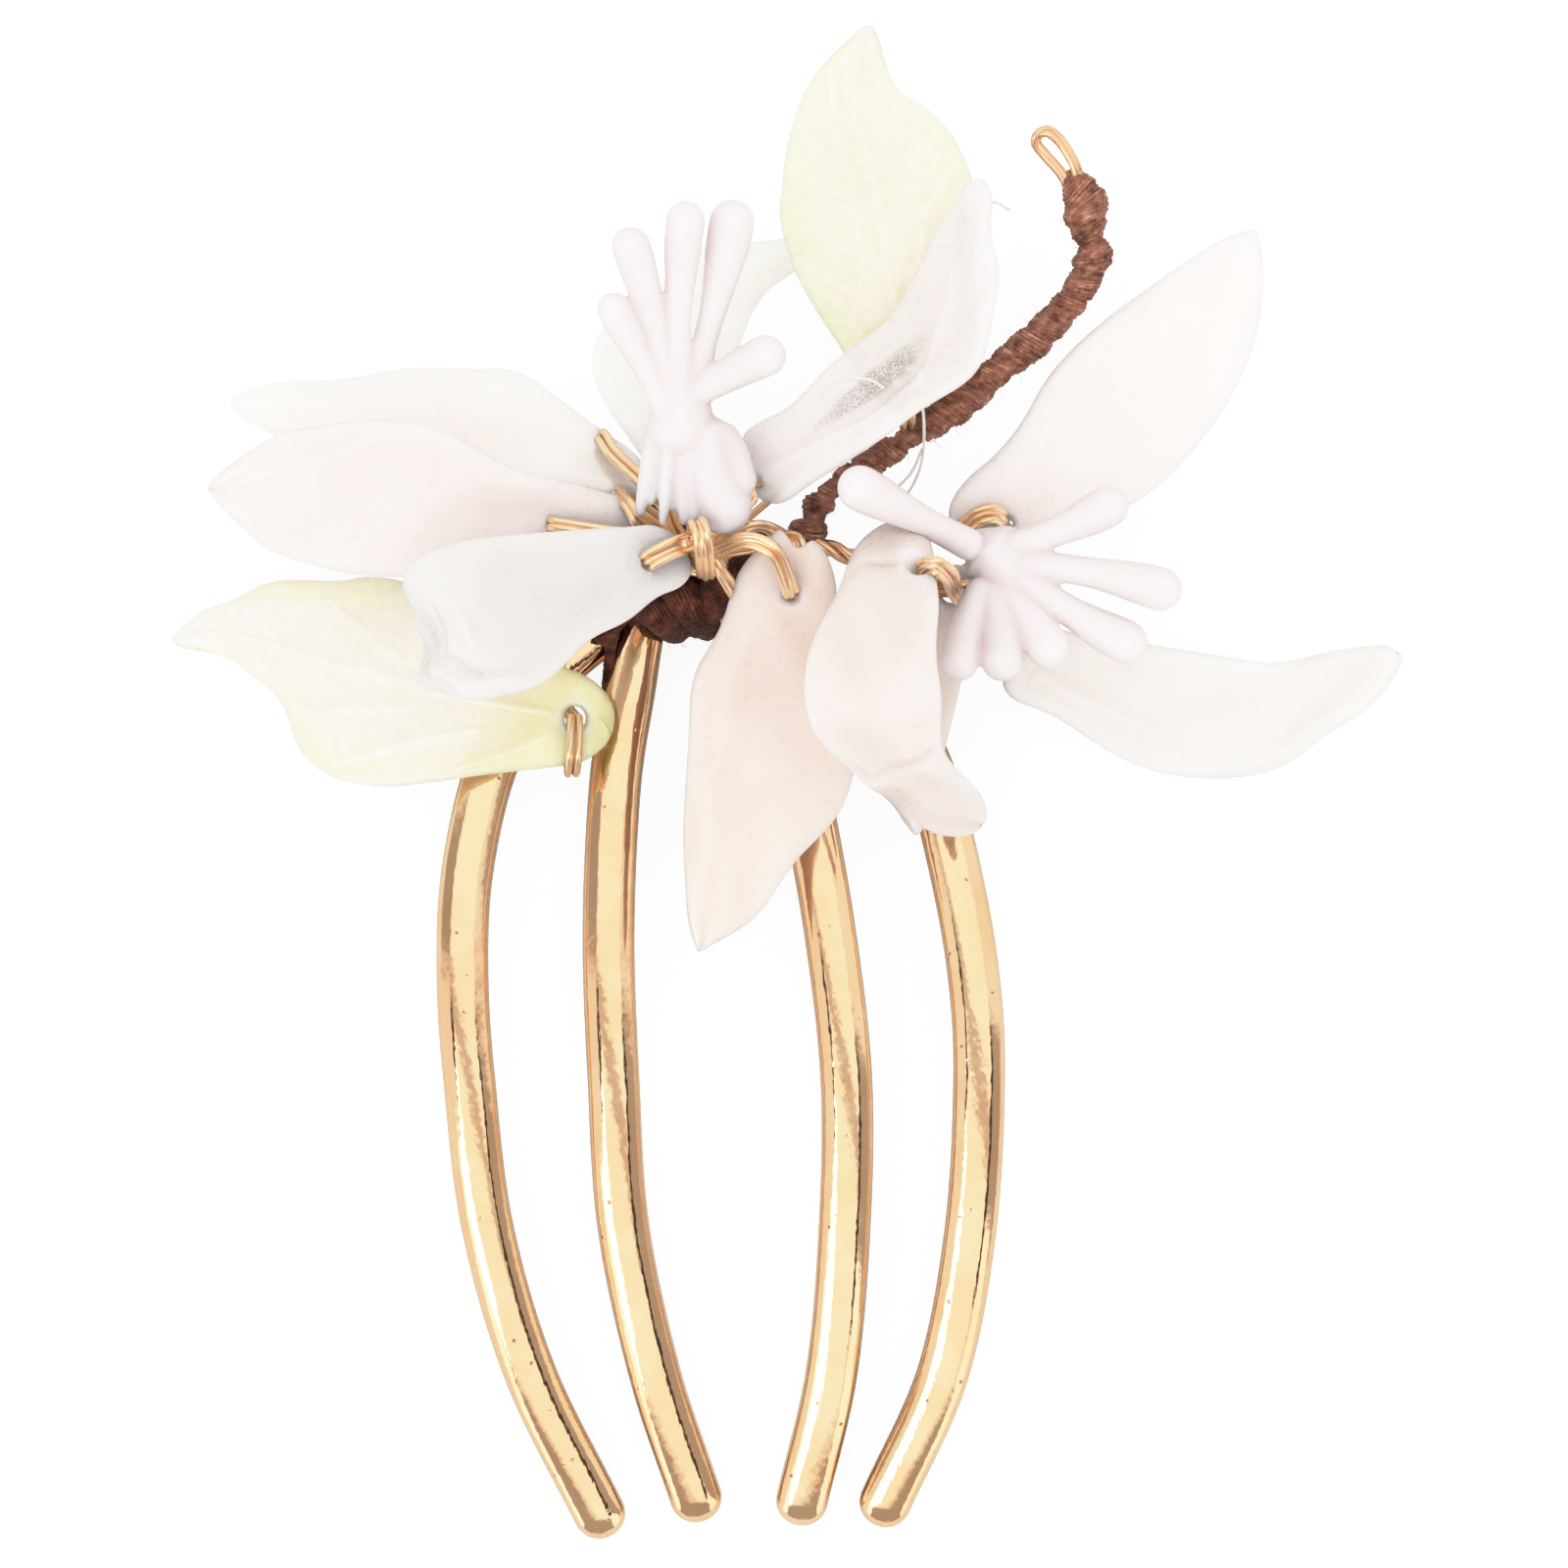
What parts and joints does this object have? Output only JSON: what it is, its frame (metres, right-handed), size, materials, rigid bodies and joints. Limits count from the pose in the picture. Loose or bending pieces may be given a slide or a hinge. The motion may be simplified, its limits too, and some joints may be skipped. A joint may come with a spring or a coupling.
{
  "type": "hair comb",
  "caption": "Curved gold hair comb with tines under an arch, wired white resin flowers, green leaves and a thread-bound branch.",
  "frame": {"origin": "centre of the bounding box at its lowest plane, which is the surface the comb lies on", "axes": "+Y from the tine tips towards the flowers, +Z out of the front face, +X to the right seen from the front"},
  "size_m": [0.0751, 0.0924, 0.0245],
  "materials": {
    "gold_metal": "polished cast metal",
    "gold_wire": "bright drawn wire",
    "brown_thread": "wound floss",
    "frosted_petal": "frosted translucent resin",
    "frosted_stamen": "frosted translucent resin",
    "green_leaf": "clear green resin with moulded veins"
  },
  "bodies": {
    "root": {"comb": "gold_metal", "comb_wrap": "brown_thread", "branch_wrap": "brown_thread", "branch_wire": "gold_wire", "petal_a1": "frosted_petal", "petal_a2": "frosted_petal", "petal_a3": "frosted_petal", "petal_a4": "frosted_petal", "petal_a5": "frosted_petal", "petal_a6": "frosted_petal", "petal_b1": "frosted_petal", "petal_b2": "frosted_petal", "petal_b3": "frosted_petal", "petal_b4": "frosted_petal", "wire_a1": "gold_wire", "wire_a2": "gold_wire", "wire_a3": "gold_wire", "wire_a4": "gold_wire", "wire_a5": "gold_wire", "wire_a6": "gold_wire", "wire_b1": "gold_wire", "wire_b2": "gold_wire", "wire_b3": "gold_wire", "wire_b4": "gold_wire", "stamens_a": "frosted_stamen", "stamens_b": "frosted_stamen", "stamen_wire_a": "gold_wire", "stamen_wire_b": "gold_wire", "knot_a": "gold_wire", "knot_b": "gold_wire", "stem_b": "gold_wire", "leaf_upper": "green_leaf", "leaf_lower": "green_leaf", "tie_upper": "gold_wire", "tie_lower": "gold_wire"}
  },
  "joints": []
}
